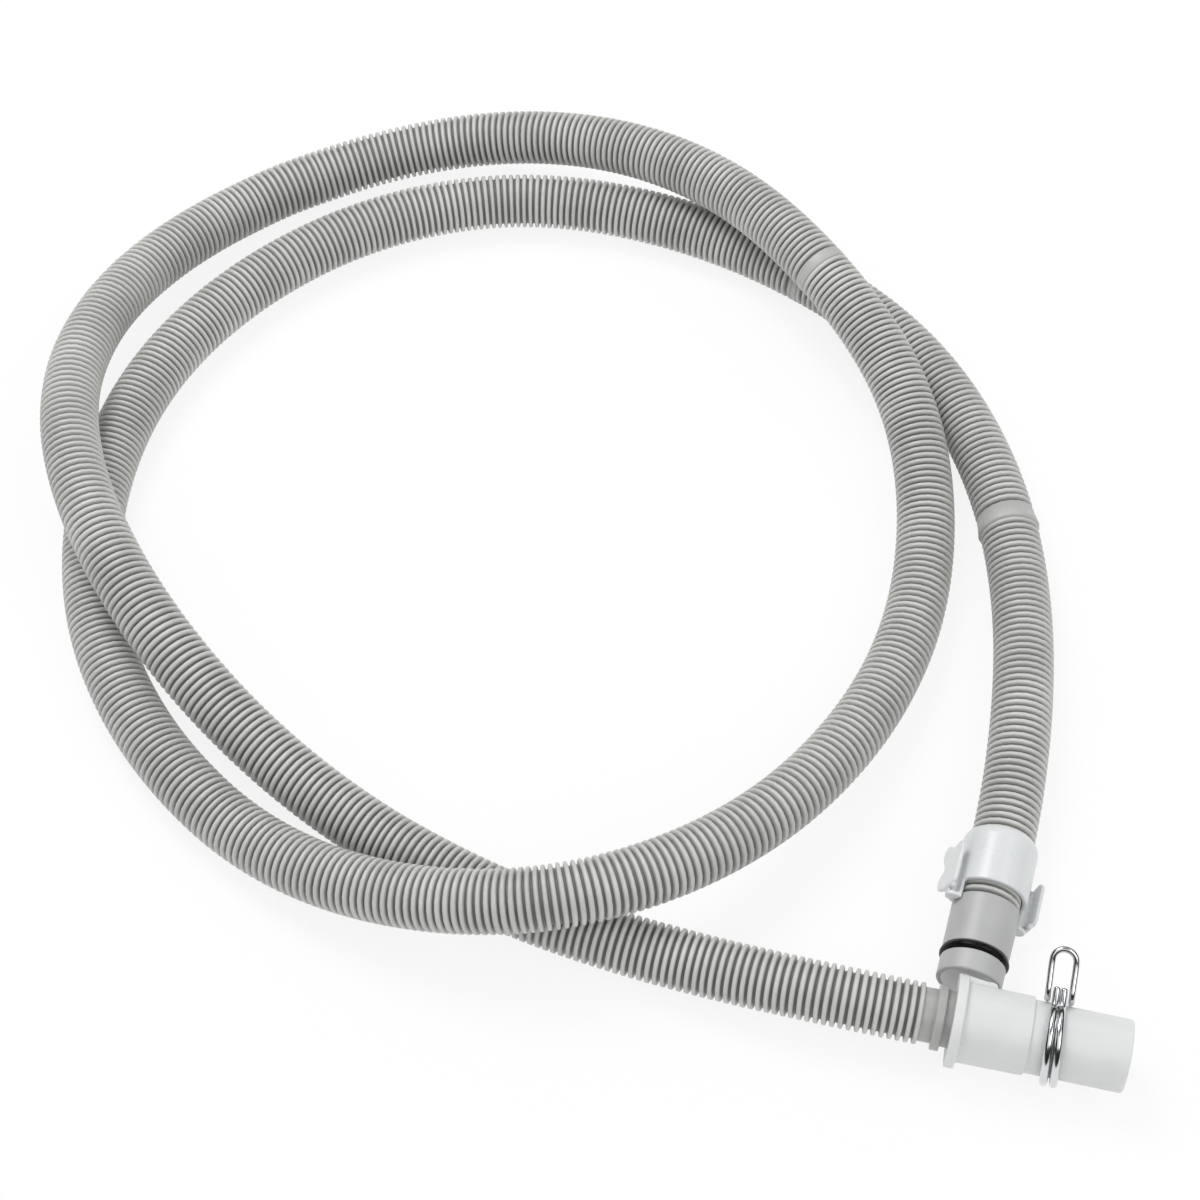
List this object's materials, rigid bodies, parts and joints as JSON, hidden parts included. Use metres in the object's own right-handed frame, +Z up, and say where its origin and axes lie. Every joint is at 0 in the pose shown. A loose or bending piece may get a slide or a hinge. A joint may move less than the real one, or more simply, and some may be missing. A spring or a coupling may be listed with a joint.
{
  "type": "dishwasher drain hose",
  "caption": "Corrugated drain hose lying in loose loops, with a clipped pump spigot on one end and a push-on sink adapter with a spring clamp on the other.",
  "frame": {"origin": "middle of the laid-out hose, on the surface it lies on", "axes": "+Z up, +Y towards the far side of the loops, +X towards the end fittings"},
  "size_m": [0.4398, 0.4958, 0.0517],
  "materials": {
    "hose_grey": "satin corrugated polypropylene",
    "spigot_grey": "satin moulded",
    "clip_white": "glossy moulded",
    "seal_rubber": "smooth, lightly oiled",
    "adapter_milky": "soft milky, slightly translucent",
    "clamp_chrome": "bright plated wire"
  },
  "bodies": {
    "root": {"drain_hose": "hose_grey", "pump_spigot": "spigot_grey", "o_ring": "seal_rubber", "locking_clip": "clip_white", "tail_cuff": "hose_grey", "sink_adapter": "adapter_milky", "spring_clamp": "clamp_chrome"}
  },
  "joints": []
}
